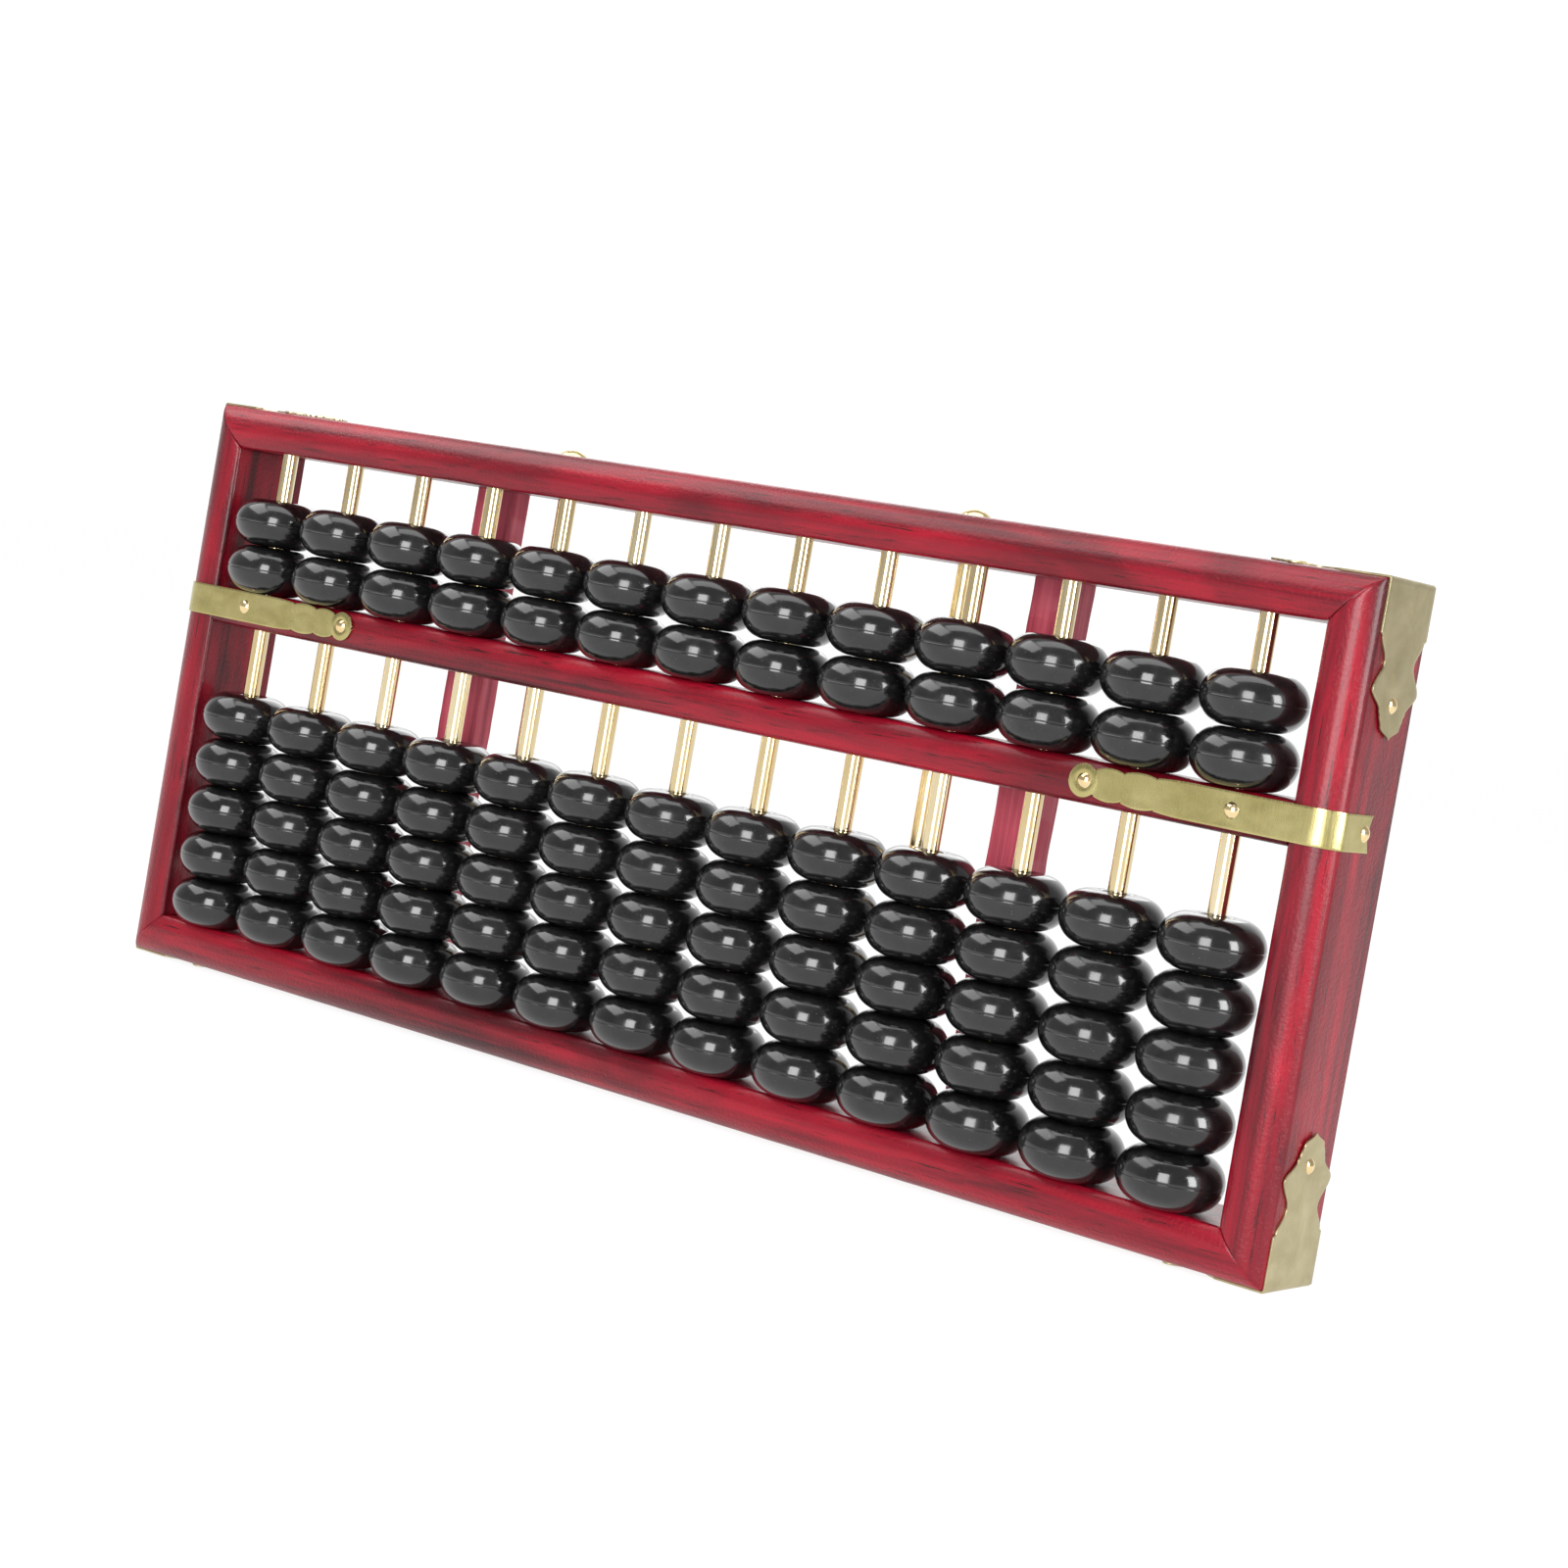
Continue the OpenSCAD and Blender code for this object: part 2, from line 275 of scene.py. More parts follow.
def lacquered_wood(name, axis):
    """Red-stained wood with dark streaks, pores and a lightly dimpled lacquer."""
    s = Shader(name, Coat_Weight=0.4, Coat_Roughness=0.2, Specular_IOR_Level=0.2)
    streak = s.noise(s.mapped(along(axis, 9, 230)), 1.0, 7.0, 0.62, 0.5)
    broad = s.noise(s.mapped(along(axis, 22, 60)), 1.0, 3.0, 0.5, 0.8)
    pore = s.noise(s.mapped(along(axis, 90, 1900)), 1.0, 3.0, 0.6)
    peel = s.noise(s.mapped((1, 1, 1)), 1300.0, 2.0, 0.55)
    sag = s.noise(s.mapped((1, 1, 1)), 240.0, 2.0, 0.5)
    dark_red, red, bright_red = (0.050, 0.0006, 0.004), (0.20, 0.0010, 0.011), (0.35, 0.0020, 0.017)
    base = s.ramp(streak, (0.32, dark_red), (0.47, red), (0.66, bright_red))
    shade = s.ramp(broad, (0.34, (0.42, 0.40, 0.45)), (0.56, (1.0, 1.0, 1.0)))
    colour = s.mix(0.85, base, shade, "MULTIPLY")
    dark = s.ramp(pore, (0.30, (1, 1, 1)), (0.40, (0, 0, 0)))
    colour = s.mix(dark, colour, (0.03, 0.001, 0.002))
    s.bump((pore, 0.30, 0.00015), (streak, 0.25, 0.0002), (sag, 0.25, 0.0004), (peel, 0.75, 0.00026))
    return s.finish(colour, s.range(peel, 0.30, 0.46))


def batten_wood():
    """Sawn wood under a thin pinkish-red stain."""
    s = Shader("batten_wood", Coat_Weight=0.08, Coat_Roughness=0.5)
    streak = s.noise(s.mapped(along(2, 14, 420)), 1.0, 8.0, 0.66, 0.4)
    saw = s.noise(s.mapped((150, 150, 900)), 1.0, 3.0, 0.5)
    dark_pink, pink, pale_pink = (0.24, 0.020, 0.045), (0.50, 0.060, 0.10), (0.64, 0.14, 0.18)
    base = s.ramp(streak, (0.30, dark_pink), (0.52, pink), (0.72, pale_pink))
    s.bump((streak, 0.5, 0.0003), (saw, 0.2, 0.0002))
    return s.finish(base, s.range(saw, 0.45, 0.68))


def bead_plastic():
    """Black moulded plastic with handling smudges, hairline scratches and dust."""
    s = Shader("bead_plastic", Specular_IOR_Level=0.45, Coat_Weight=0.5, Coat_Roughness=0.04)
    smudge = s.noise(s.mapped((1, 1, 1)), 260.0, 5.0, 0.6, 0.6)
    scratch = s.noise(s.mapped((500, 500, 4200), (0.5, 0.3, 0)), 1.0, 3.0, 0.7)
    dust = s.noise(s.mapped((1, 1, 1)), 3600.0, 1.0, 0.4)
    colour = s.ramp(smudge, (0.35, (0.0035, 0.0035, 0.004)), (0.7, (0.010, 0.0095, 0.0095)))
    colour = s.mix(s.ramp(dust, (0.765, (0, 0, 0)), (0.80, (0.5, 0.5, 0.5))), colour, (0.25, 0.25, 0.24))
    s.bump((scratch, 0.22, 0.00006), (smudge, 0.15, 0.0002))
    return s.finish(colour, s.range(smudge, 0.07, 0.26, 0.3, 0.75))


def polished_rod():
    """Bright brass-plated rod with faint draw lines."""
    s = Shader("polished_rod", Metallic=1.0)
    draw = s.noise(s.mapped((2600, 2600, 9)), 1.0, 3.0, 0.6)
    tone = s.noise(s.mapped((60, 60, 25)), 1.0, 3.0, 0.5)
    colour = s.ramp(tone, (0.32, (0.66, 0.50, 0.25)), (0.68, (0.84, 0.72, 0.48)))
    s.bump((draw, 0.12, 0.00004),)
    return s.finish(colour, s.range(draw, 0.07, 0.20, 0.3, 0.7))


def sheet_brass(name, light, dark, brush, rough):
    """Sheet brass. brush is the mapping scale of its surface lines."""
    s = Shader(name, Metallic=1.0)
    lines = s.noise(s.mapped(brush), 1.0, 4.0, 0.65)
    patina = s.noise(s.mapped((1, 1, 1)), 110.0, 5.0, 0.6, 0.4)
    grit = s.noise(s.mapped((1, 1, 1)), 2600.0, 2.0, 0.5)
    colour = s.ramp(patina, (0.33, dark), (0.66, light))
    s.bump((lines, 0.22, 0.00006), (grit, 0.10, 0.00004))
    return s.finish(colour, s.range(lines, rough - 0.08, rough + 0.10, 0.3, 0.7))


WOOD_X = lacquered_wood("lacquered_wood_rails", 0)
WOOD_Z = lacquered_wood("lacquered_wood_stiles", 2)
BATTEN = batten_wood()
BEAD = bead_plastic()
ROD = polished_rod()
BRACKET = sheet_brass("bracket_brass", (0.54, 0.47, 0.28), (0.41, 0.35, 0.19), (300, 300, 300), 0.34)
STRAP = sheet_brass("strap_brass", (0.56, 0.49, 0.22), (0.43, 0.37, 0.145), (3200, 3200, 90), 0.25)
NAIL = sheet_brass("nail_brass", (0.92, 0.76, 0.45), (0.80, 0.58, 0.28), (200, 200, 200), 0.16)


# ---- wooden frame ----
def bar_section():
    """Section of a frame bar: u across from the outer edge, v depth from the arris."""
    soft, round_in = 0.5 * MM, 0.45 * MM
    inner_v = ARCH_V - math.sqrt(ARCH_R**2 - (BAR_W - ARCH_U) ** 2)
    a0 = math.degrees(math.atan2(-ARCH_V, -ARCH_U)) % 360
    a1 = math.degrees(math.atan2(inner_v - ARCH_V, BAR_W - ARCH_U)) % 360
    trim = math.degrees(soft / ARCH_R)
    back = SIDE_D - 0.1 * MM
    points = [(EASE, back), (0.0, back - EASE), (0.0, back * 0.66), (0.0, back * 0.33), (0.0, soft)]
    points += [(0.04 * MM, 0.22 * MM)]
    points += arc(ARCH_U, ARCH_V, ARCH_R, a0 + trim, a1 - trim, 26)
    points += [(BAR_W - 0.05 * MM, inner_v + 0.2 * MM), (BAR_W, inner_v + round_in)]
    points += [(BAR_W, back * 0.4), (BAR_W, back * 0.75), (BAR_W, back - EASE), (BAR_W - EASE, back)]
    return points


def hand_finish(t, u, v, seed):
    """Offset across a hand-sanded bar. Near the front, the inner edge wanders most."""
    share = (u / BAR_W) ** 3 if v < 0.3 * SIDE_D else 0.0
    wander = noise.noise(Vector((t * 55, seed, 0.0)))
    ripple = noise.noise(Vector((t * 160, u * 300, seed)))
    return (0.30 * share * wander + 0.03 * ripple) * MM


def frame_bar(name, node, length, material, place, seed):
    """A mitred bar that pulls in over its last half millimetre, so that the mitres read as joints."""

    def placed(t, u, v):
        gap = min(t - u, length - u - t)
        pull = 0.16 * MM * max(0.0, 1 - gap / (0.5 * MM)) if v < 0.9 * SIDE_D else 0.0
        u2 = min(u + hand_finish(t, u, v, seed), BAR_W)
        inward_u = 1 if u2 < BAR_W / 2 else -1
        return place(t, u2 + pull * inward_u * 0.6, v + pull)

    bm = bmesh.new()
    stops = [0, 0.0012, 0.003] + [k / 120 for k in range(1, 120)] + [0.997, 0.9988, 1]
    section = bar_section()
    capped_bar(bm, [[placed(u + (length - 2 * u) * t, u, v) for u, v in section] for t in stops])
    add_solid(name, bm, material, "frame", node, 40)


def wooden_frame():
    """Four mitred bars. The last value of each is the seed of its hand finish."""
    width = 2 * HALF_W
    frame_bar("rail_bottom", "bottom_rail", width, WOOD_X,
              lambda t, u, v: Vector((t - HALF_W, ARRIS_Y + v, BASE_Z + u)), 1.3)
    frame_bar("rail_top", "top_rail", width, WOOD_X,
              lambda t, u, v: Vector((t - HALF_W, ARRIS_Y + v, TOP_Z - u)), 4.1)
    frame_bar("stile_left", "left_stile", HEIGHT, WOOD_Z,
              lambda t, u, v: Vector((-HALF_W + u, ARRIS_Y + v, BASE_Z + t)), 7.7)
    frame_bar("stile_right", "right_stile", HEIGHT, WOOD_Z,
              lambda t, u, v: Vector((HALF_W - u, ARRIS_Y + v, BASE_Z + t)), 9.2)


def divider():
    """Beam between the decks, rounded at the front."""
    half_h = (BEAM_HI.z - BEAM_LO.z) / 2
    mid_z = (BEAM_HI.z + BEAM_LO.z) / 2
    soft = 0.5 * MM
    radius = BEAM_FRONT_R
    reach = math.degrees(math.asin((half_h - soft) / radius))
    depth = BEAM_HI.y - BEAM_LO.y
    front = arc(0, radius, radius, -90 - reach, -90 + reach, 16)
    v_edge = radius - math.sqrt(radius**2 - half_h**2)
    section = [(-half_h + EASE, depth), (-half_h, depth - EASE), (-half_h, v_edge + soft)]
    section += front
    section += [(half_h, v_edge + soft), (half_h, depth - EASE), (half_h - EASE, depth)]

    def place(t, u, v):
        wave = 0.06 * MM * noise.noise(Vector((t * 60, u * 200, 3.0)))
        v2 = max(v + wave, 0.0)
        return Vector((t, BEAM_LO.y + v2, mid_z + u))

    bm = bmesh.new()
    sweep(bm, section, place, BEAM_LO.x, BEAM_HI.x, 120)
    add_solid("divider_beam", bm, WOOD_X, "frame", "beam", 40)


def batten(side):
    """Sawn back batten with slightly uneven edges."""
    node = f"back_batten_{side}"
    lo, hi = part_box(node)
    soft = 0.5 * MM
    section = [(lo.x + soft, lo.y), (lo.x, lo.y + soft), (lo.x, hi.y - soft), (lo.x + soft, hi.y)]
    section += [(hi.x - soft, hi.y), (hi.x, hi.y - soft), (hi.x, lo.y + soft), (hi.x - soft, lo.y)]

    def place(t, u, v):
        inward = 1 if u < (lo.x + hi.x) / 2 else -1
        chip = abs(noise.noise(Vector((t * 90, u * 500, v * 500)))) * 0.45 * MM
        return Vector((u + inward * chip, v, t))

    bm = bmesh.new()
    sweep(bm, section, place, lo.z, hi.z, 90)
    add_solid(f"batten_{side}", bm, BATTEN, "frame", node, 40)


# ---- metal ----
def dome_profile(radius, height, count=10):
    """A domed head with its flat underside at height 0."""
    ball = (radius**2 + height**2) / (2 * height)
    reach = math.asin(radius / ball)
    points = [(0.0, 0.0), (radius, 0.0)]
    for k in range(count, -1, -1):
        a = reach * k / count
        points.append((ball * math.sin(a) * (1 if k else 0), height - ball + ball * math.cos(a)))
    return points


def shaft(bm, x, y, low, high, radius):
    """An upright cylinder."""
    profile = [(0.0, low), (radius, low), (radius, high), (0.0, high)]
    lathe(bm, profile, Vector((x, y, 0)), segments=40, closed=False)


def rods():
    """All the bead rods as one piece."""
    lo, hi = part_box("rods")
    pitch = (hi.x - lo.x - 2 * ROD_R) / (ROD_COUNT - 1)
    bm = bmesh.new()
    for i in range(ROD_COUNT):
        shaft(bm, lo.x + ROD_R + i * pitch, ROD_Y, lo.z, hi.z, ROD_R)
    add_solid("bead_rods", bm, ROD, "frame", "rods")


def tie_rod(side):
    """Upright rod at the back of the frame, with a domed head over the top rail."""
    node = f"tie_rod_{side}"
    lo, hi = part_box(node)
    x, y = (lo.x + hi.x) / 2, (lo.y + hi.y) / 2
    head_r = (hi.x - lo.x) / 2
    bm = bmesh.new()
    shaft(bm, x, y, lo.z, TOP_Z, TIE_ROD_R)
    lathe(bm, dome_profile(head_r, hi.z - TOP_Z, 14), Vector((x, y, TOP_Z)), closed=False)
    add_solid(f"tie_{side}", bm, NAIL, "frame", node)


# Outline of a bracket arm: (share of the way out from the corner, share of the full width)
ARM_STATIONS = [
    (0, 1), (0.35, 1), (0.36, 0.92), (0.52, 0.65), (0.7, 0.97),
    (0.83, 0.56), (0.86, 0.5), (0.93, 0.4), (1, 0.02),
]
NAIL_AT = 24.3 * MM
NAIL_HEAD_R = 1.7 * MM
NAIL_HEAD_H = 0.8 * MM


def arm_width(s):
    """Share of full width at a distance from the corner, from 0 to 1."""
    for (s0, w0), (s1, w1) in zip(ARM_STATIONS, ARM_STATIONS[1:]):
        if s <= s1:
            t = (s - s0) / (s1 - s0)
            return w0 + (w1 - w0) * (1 - math.cos(math.pi * t)) / 2
    return ARM_STATIONS[-1][1]


def arm_height(s, across):
    """Height of the pressed plate over the wood: it lifts past the lobe and dips at the nail."""
    lift = 0.42 * MM * max(0.0, (s - 17 * MM) / (14 * MM)) ** 1.2
    ridge = 0.22 * MM * math.exp(-(((s - 19 * MM) / (4 * MM)) ** 2)) * math.exp(-((across / (3.0 * MM)) ** 2))
    away = math.hypot(s - NAIL_AT, across)
    return (lift + ridge) * (1 - math.exp(-((away / (2.2 * MM)) ** 2)))


def corner_bracket(vertical, side):
    """Brass plate folded over a corner of the frame, with one arm on the side and one on the rail."""
    node = f"bracket_{vertical}_{side}"
    lo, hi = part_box(node)
    sx = -1 if side == "left" else 1
    sz = 1 if vertical == "top" else -1
    face_x = sx * HALF_W
    face_z = TOP_Z if vertical == "top" else BASE_Z
    past_wood = 0.5 * MM
    arm = hi.z - lo.z - past_wood
    half = (hi.y - lo.y) / 2
    bend = 0.6 * MM
    clear = 0.02 * MM

    def side_point(s, q):
        across = q * half * arm_width(s / arm)
        over = arm_height(s, across) + clear
        return Vector((face_x + sx * over, MID_Y + across, face_z - sz * s))

    def rail_point(s, q):
        across = q * half * arm_width(s / arm)
        over = (0.0 if vertical == "bottom" else arm_height(s, across)) + clear
        return Vector((face_x - sx * s, MID_Y + across, face_z + sz * over))

    places = columns(9)
    runs = [s for s in (k / 110 * arm for k in range(111)) if s > bend]
    rows = [[side_point(s, q) for q in places] for s in reversed(runs)]
    rows.append([side_point(0.0, q) + Vector((0, 0, -sz * bend * 0.3)) for q in places])
    rows.append([rail_point(0.0, q) + Vector((-sx * bend * 0.3, 0, 0)) for q in places])
    rows += [[rail_point(s, q) for q in places] for s in runs]
    bm = bmesh.new()
    grid(bm, rows)
    name = f"corner_{vertical}_{side}"
    add_sheet(name, bm, BRACKET, node, Vector((sx, 0, sz)), 0.12 * MM)


STRAP_LO, STRAP_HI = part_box("beam_strap_right")
STRAP_H = STRAP_HI.z - STRAP_LO.z
STRAP_SIDE = STRAP_HI.y - ARRIS_Y
STRAP_LEN = HALF_W - STRAP_LO.x
STRAP_END_R = 3.4 * MM
STRAP_NECK_HALF = 2.5 * MM
STRAP_NAILS = (3.6 * MM, 37.4 * MM)
STRAP_SIDE_NAIL = 8.6 * MM
# Stretches of the outline, in mm: (from, to, change of half height in the middle, change at the ends)
STRAP_LOBES = ((6.3, 12.8, -0.30, -0.95), (12.8, 20.4, -0.05, -0.65), (20.4, 34.4, 0.0, -0.4))
STRAP_FULL = 27.4 * MM


def strap_half(s):
    """Half height of the strap at a distance from its round end."""
    if s > STRAP_FULL:
        return STRAP_H / 2
    half = math.sqrt(max(0.0, STRAP_END_R**2 - (s - STRAP_END_R) ** 2))
    if s > STRAP_END_R:
        half = max(half, STRAP_NECK_HALF)
    for start, end, middle, waist in STRAP_LOBES:
        if start * MM <= s < end * MM:
            t = 2 * (s / MM - start) / (end - start) - 1
            half = STRAP_H / 2 + (middle + (waist - middle) * t * t) * MM
    return half


def strap_dish(s, across):
    """Pressed dish round the nail in the strap's round end."""
    away = math.hypot(s - STRAP_NAILS[0], across) / MM
    return (0.16 * math.exp(-(((away - 2.3) / 0.7) ** 2)) - 0.03 * math.exp(-((away / 1.6) ** 2))) * MM


def strap_path(s):
    """Plan of the right-hand strap: (point, outward normal) along the beam, the moulding and the side."""
    flat = STRAP_LEN - ARCH_U
    if s <= flat:
        return Vector((STRAP_LO.x + s, CROWN_Y, 0)), Vector((0, -1, 0))
    sweep_angle = math.atan2(ARCH_U, ARCH_V)
    run = sweep_angle * ARCH_R
    if s <= flat + run:
        a = (s - flat) / ARCH_R
        n = Vector((math.sin(a), -math.cos(a), 0))
        return Vector((HALF_W - ARCH_U, ARRIS_Y + ARCH_V, 0)) + n * ARCH_R, n
    back = s - flat - run
    turn = min(back / (0.9 * MM), 1.0)
    a = sweep_angle + (math.pi / 2 - sweep_angle) * turn
    return Vector((HALF_W, ARRIS_Y + back, 0)), Vector((math.sin(a), -math.cos(a), 0))


def strap_stops(total):
    """Distances along the strap: closest in its shaped end, with a pair where each stretch starts."""
    stops = [STRAP_END_R * (1 - math.cos(math.pi * k / 20)) / 2 for k in range(1, 21)]
    stops += [STRAP_END_R + (STRAP_FULL - STRAP_END_R) * k / 110 for k in range(1, 111)]
    for start, _, _, _ in STRAP_LOBES:
        stops += [(start - 0.01) * MM, (start + 0.01) * MM]
    return sorted(stops + [STRAP_FULL + (total - STRAP_FULL) * k / 110 for k in range(1, 111)])


def strap(side):
    """Brass strap from the beam round the stile to its side, where it ends in a shallow notch."""
    node = f"beam_strap_{side}"
    mirror = -1 if side == "left" else 1
    lo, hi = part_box(node)
    mid_z = (lo.z + hi.z) / 2
    total = STRAP_LEN - ARCH_U + math.atan2(ARCH_U, ARCH_V) * ARCH_R + STRAP_SIDE
    notch, bite = 5 * MM, 1.2 * MM
    rows = []
    for s in strap_stops(total):
        row = []
        for q in columns(8):
            share = max(0.0, (s - total + notch) / notch)
            at = s - share * bite * (1 - abs(q) ** 1.8)
            p, n = strap_path(at)
            across = q * strap_half(s)
            wave = 0.05 * MM * noise.noise(Vector((at * 150, q, mirror)))
            over = 0.03 * MM + abs(wave) + (strap_dish(at, across) if s < STRAP_NAILS[1] / 2 else 0.0)
            p = p + n * over
            row.append(Vector((mirror * p.x, p.y, mid_z + across)))
        rows.append(row)
    bm = bmesh.new()
    grid(bm, rows)
    add_sheet(f"strap_{side}", bm, STRAP, node, Vector((0, -1, 0)), 0.08 * MM)


def nail_heads(name, node, places):
    """Domed nail heads at (point, outward direction) places."""
    bm = bmesh.new()
    for point, direction in places:
        turn = direction.to_track_quat("Z", "Y").to_matrix()
        lathe(bm, dome_profile(NAIL_HEAD_R, NAIL_HEAD_H), point, turn, 32, closed=False)
    add_solid(name, bm, NAIL, "frame", node)


def nails():
    """Nail heads on both arms of each bracket, and three on each strap."""
    bracket_places = []
    for s in (-1, 1):
        for z in (BASE_Z + NAIL_AT, TOP_Z - NAIL_AT):
            bracket_places.append((Vector((s * (HALF_W + SHEET_FACE), MID_Y, z)), Vector((s, 0, 0))))
        x = s * (HALF_W - NAIL_AT)
        bracket_places.append((Vector((x, MID_Y, TOP_Z + SHEET_FACE)), Vector((0, 0, 1))))
        bracket_places.append((Vector((x, MID_Y, NAIL_HEAD_H)), Vector((0, 0, -1))))
    nail_heads("bracket_nail_heads", "bracket_nails", bracket_places)
    strap_places = []
    for s, hand in ((-1, "left"), (1, "right")):
        lo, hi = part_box(f"beam_strap_{hand}")
        z = (lo.z + hi.z) / 2
        for a in STRAP_NAILS:
            strap_places.append((Vector((s * (STRAP_LO.x + a), CROWN_Y - SHEET_FACE, z)), Vector((0, -1, 0))))
        y = ARRIS_Y + STRAP_SIDE_NAIL
        strap_places.append((Vector((s * (HALF_W + SHEET_FACE), y, z)), Vector((s, 0, 0))))
    nail_heads("strap_nail_heads", "strap_nail_set", strap_places)


# ---- beads ----
# Dish round a bead's hole: (radius, depth below the flat end), in mm
BEAD_DISH = ((4.3, 0.01), (3.9, 0.05), (3.5, 0.16), (3.0, 0.42), (2.6, 0.66), (2.32, 1.0))


def bead_profile():
    """Closed (radius, height) outline of a bead: round rim with a mould line, flat ends, dished hole."""
    half = BEAD_H / 2
    rim_c = BEAD_R - half
    upper = arc(rim_c, 0, half, 1.4, 90, 18)
    upper += [(radius * MM, half - depth * MM) for radius, depth in BEAD_DISH]
    mould_line = [(BEAD_R - 0.004 * MM, 0.13 * MM), (BEAD_R - 0.11 * MM, 0.04 * MM)]
    half_outline = list(reversed(upper)) + mould_line
    return half_outline + [(r, -h) for r, h in reversed(half_outline)]


def bead_stack(profile, node, body, seed):
    """The beads of one CAD node as one piece, each turned and set a little differently."""
    lo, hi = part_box(node)
    count = round((hi.z - lo.z) / BEAD_H)
    step = (hi.z - lo.z - BEAD_H) / max(count - 1, 1)
    centre_x = (lo.x + hi.x) / 2
    pick = random.Random(seed)
    bm = bmesh.new()
    for n in range(count):
        offset = Vector((pick.uniform(-0.1, 0.1) * MM, pick.uniform(-0.1, 0.05) * MM + 0.02 * MM, 0))
        tilt = Matrix.Rotation(math.radians(pick.uniform(-0.3, 0.3)), 3, "X")
        tilt = tilt @ Matrix.Rotation(math.radians(pick.uniform(-0.3, 0.3)), 3, "Y")
        turn = tilt @ Matrix.Rotation(pick.uniform(0, math.tau), 3, "Z")
        centre = Vector((centre_x, ROD_Y, lo.z + BEAD_H / 2 + n * step)) + offset
        lathe(bm, profile, centre, turn, 56)
    add_solid(node.replace("beads", "stack"), bm, BEAD, body, node, 60)


def beads():
    """Three stacks on each rod, each riding its own body."""
    profile = bead_profile()
    for i in range(1, ROD_COUNT + 1):
        for k, part in enumerate(("upper", "lift", "base")):
            bead_stack(profile, f"beads_{i:02d}_{part}", f"{part}_{i:02d}", 100 * i + k)


# ---- stage ----
STAGE_TARGET = Vector((0, 0, BASE_Z + HEIGHT / 2))
FLOOR_HALF = 12
CAMERA_AZIMUTH = 36.17
CAMERA_ELEVATION = 1.81
CAMERA_ROLL = 9.80
CAMERA_HEIGHTS_AWAY = 4.8314
CAMERA_TARGET = Vector((0.1804 * HEIGHT, ARRIS_Y, BASE_Z + 0.6936 * HEIGHT))
CAMERA_SHIFT_Y = -0.0625
SENSOR_MM = 36
LENS_MM = 71.145


def towards(azimuth, elevation):
    """Unit vector in a direction given in degrees. Azimuth 0 is the front and 90 is the right-hand side."""
    a, e = math.radians(azimuth), math.radians(elevation)
    return Vector((math.sin(a) * math.cos(e), -math.cos(a) * math.cos(e), math.sin(e)))


def softbox(name, azimuth, elevation, distance, size, power):
    """Area light aimed at the object's middle, placed by its direction from there."""
    back = towards(azimuth, elevation)
    data = bpy.data.lights.new(name, "AREA")
    data.shape = "RECTANGLE"
    data.size, data.size_y = size
    data.energy = power
    lamp = bpy.data.objects.new(name, data)
    lamp.location = STAGE_TARGET + back * distance
    lamp.rotation_mode = "QUATERNION"
    lamp.rotation_quaternion = back.to_track_quat("Z", "Y")
    bpy.context.scene.collection.objects.link(lamp)


def floor():
    """Pale floor that is mostly emissive, so that it meets the surround without a grey band."""
    bm = bmesh.new()
    bmesh.ops.create_grid(bm, x_segments=1, y_segments=1, size=FLOOR_HALF)
    mesh = bpy.data.meshes.new("floor")
    bm.to_mesh(mesh)
    bm.free()
    sheet = bpy.data.objects.new("floor", mesh)
    s = Shader("floor_paper", Roughness=0.9, Specular_IOR_Level=0.1, Emission_Strength=0.88)
    s.set(Emission_Color=(1.0, 1.0, 1.0, 1.0))
    tooth = s.noise(s.mapped((1, 1, 1)), 220.0, 3.0, 0.5)
    s.bump((tooth, 0.05, 0.0002),)
    mesh.materials.append(s.finish(s.ramp(tooth, (0.3, (0.14, 0.14, 0.14)), (0.7, (0.16, 0.16, 0.16)))))
    bpy.context.scene.collection.objects.link(sheet)


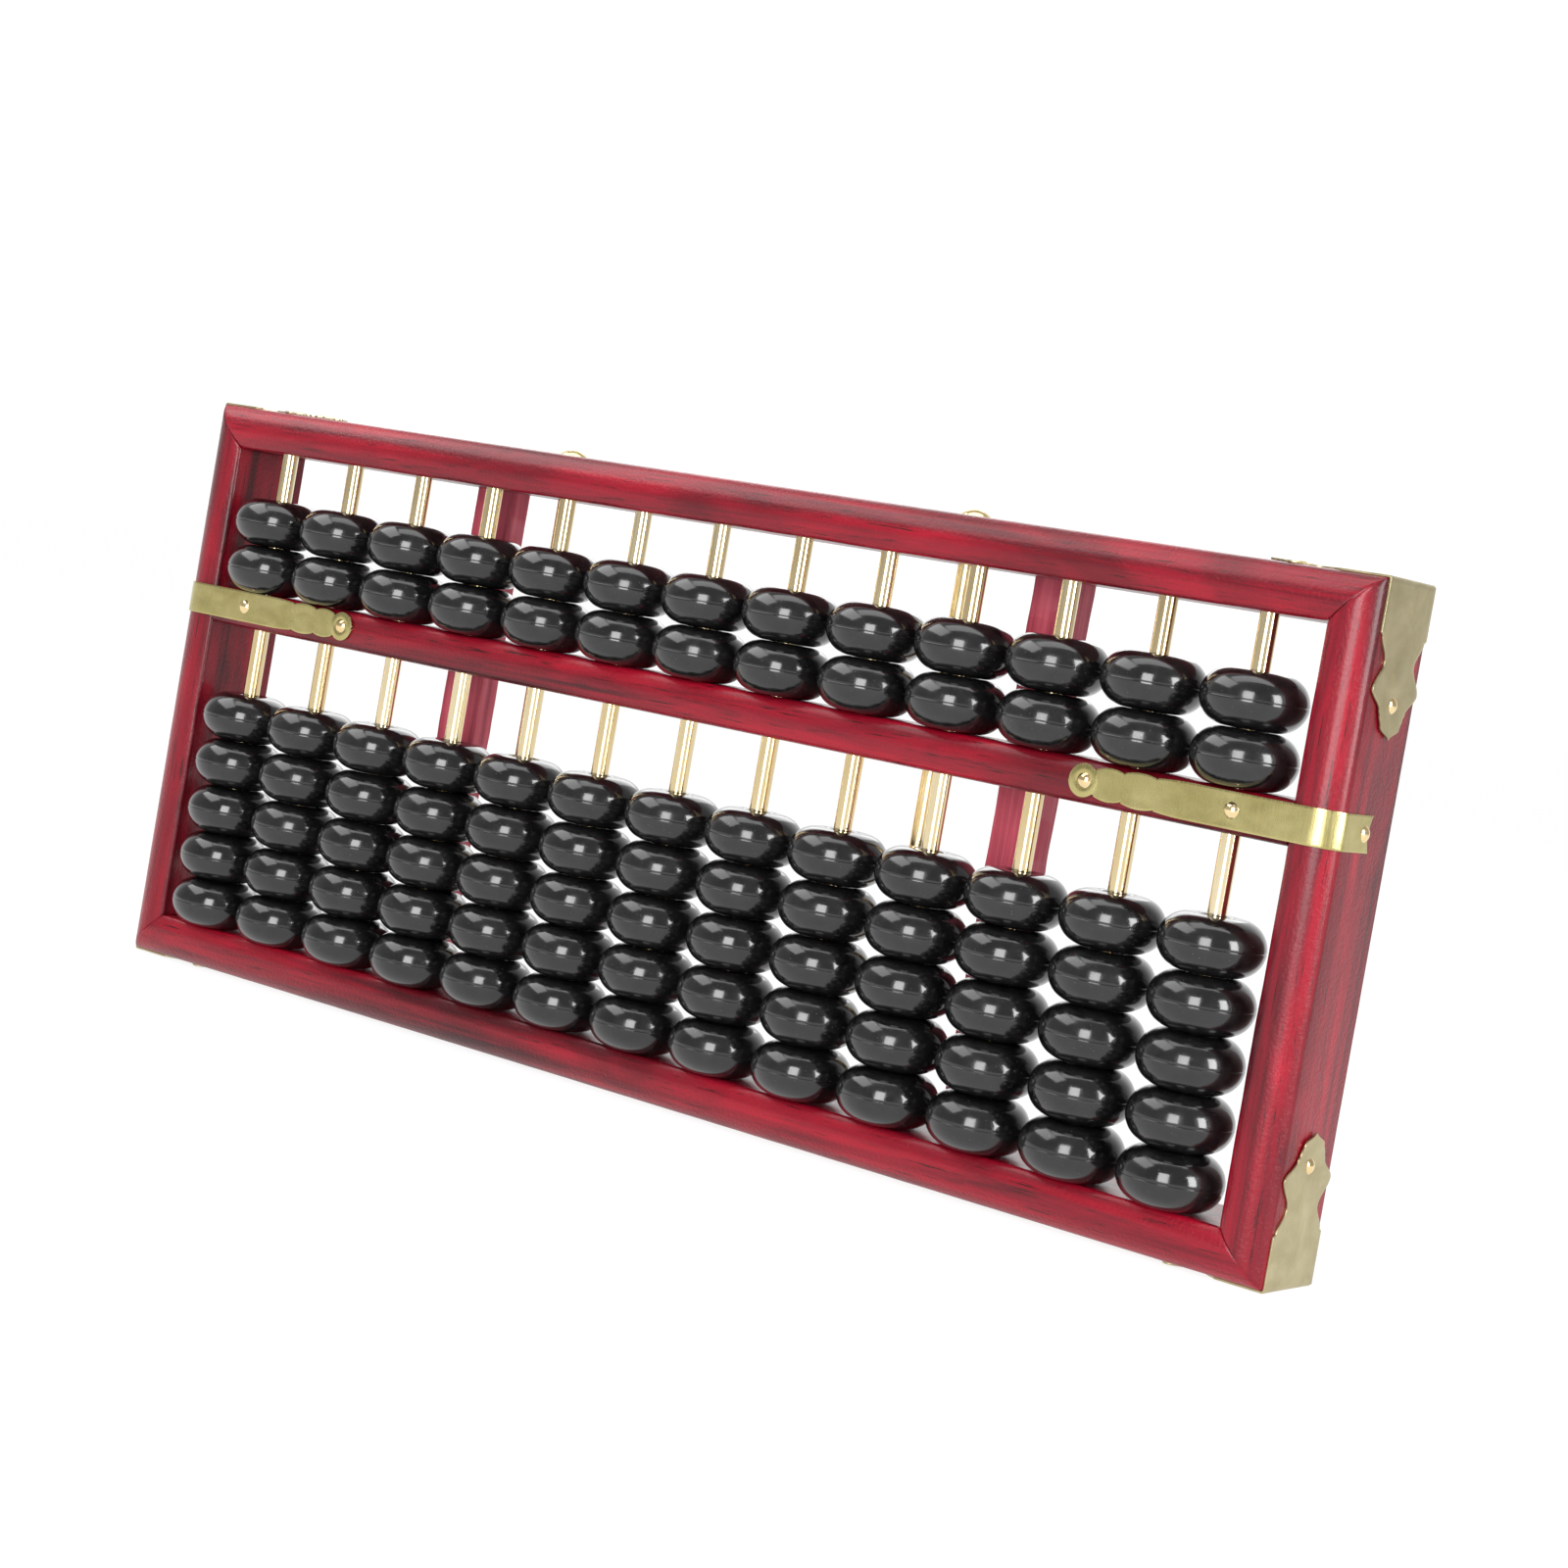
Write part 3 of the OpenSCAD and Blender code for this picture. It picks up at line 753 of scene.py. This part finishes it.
def surround():
    """White world, brightest behind the object on the left and dimmer elsewhere."""
    world = bpy.data.worlds.new("studio")
    bpy.context.scene.world = world
    world.use_nodes = True
    tree = world.node_tree
    background = tree.nodes["Background"]
    coords = tree.nodes.new("ShaderNodeTexCoord")
    facing = tree.nodes.new("ShaderNodeVectorMath")
    facing.operation = "DOT_PRODUCT"
    facing.inputs[1].default_value = (-0.56, 0.83, 0.0)
    fade = tree.nodes.new("ShaderNodeMapRange")
    tree.links.new(coords.outputs["Generated"], facing.inputs[0])
    tree.links.new(facing.outputs["Value"], fade.inputs["Value"])
    set_inputs(fade, {"From Min": 0.35, "From Max": 0.8, "To Min": 0.42, "To Max": 1.1})
    tree.links.new(fade.outputs["Result"], background.inputs["Strength"])
    background.inputs["Color"].default_value = (1, 1, 1, 1)


def lights():
    """Softboxes: name, azimuth, elevation, distance and size in metres, power in watts."""
    softbox("front", 20, 8, 1.1, (0.42, 0.95), 11.5)
    softbox("patch", 78, 14, 1.0, (0.26, 0.55), 5.5)
    softbox("arc", -56, 46, 1.1, (1.0, 0.5), 4.5)
    softbox("top", 30, 84, 1.0, (1.1, 0.5), 4.0)
    softbox("back", 215, 36, 1.3, (0.9, 0.9), 4.0)
    bpy.context.scene.view_settings.view_transform = "Standard"


def camera():
    """Camera to the right of the front, nearly level and rolled."""
    back = towards(CAMERA_AZIMUTH, CAMERA_ELEVATION)
    azimuth, roll = math.radians(CAMERA_AZIMUTH), math.radians(CAMERA_ROLL)
    right = Vector((math.cos(azimuth), math.sin(azimuth), 0))
    up = back.cross(right)
    turned_right = right * math.cos(roll) + up * math.sin(roll)
    turned_up = up * math.cos(roll) - right * math.sin(roll)
    data = bpy.data.cameras.new("camera")
    data.sensor_width = SENSOR_MM
    data.lens = LENS_MM
    data.shift_y = CAMERA_SHIFT_Y
    data.clip_start, data.clip_end = 0.05, 60
    cam = bpy.data.objects.new("camera", data)
    rotation = Matrix((turned_right, turned_up, back)).transposed()
    place = CAMERA_TARGET + back * CAMERA_HEIGHTS_AWAY * HEIGHT
    cam.matrix_world = Matrix.Translation(place) @ rotation.to_4x4()
    bpy.context.scene.collection.objects.link(cam)
    bpy.context.scene.camera = cam


camera()
floor()
surround()
lights()
wooden_frame()
divider()
for hand in ("left", "right"):
    batten(hand)
    tie_rod(hand)
    strap(hand)
    for level in ("top", "bottom"):
        corner_bracket(level, hand)
rods()
nails()
beads()
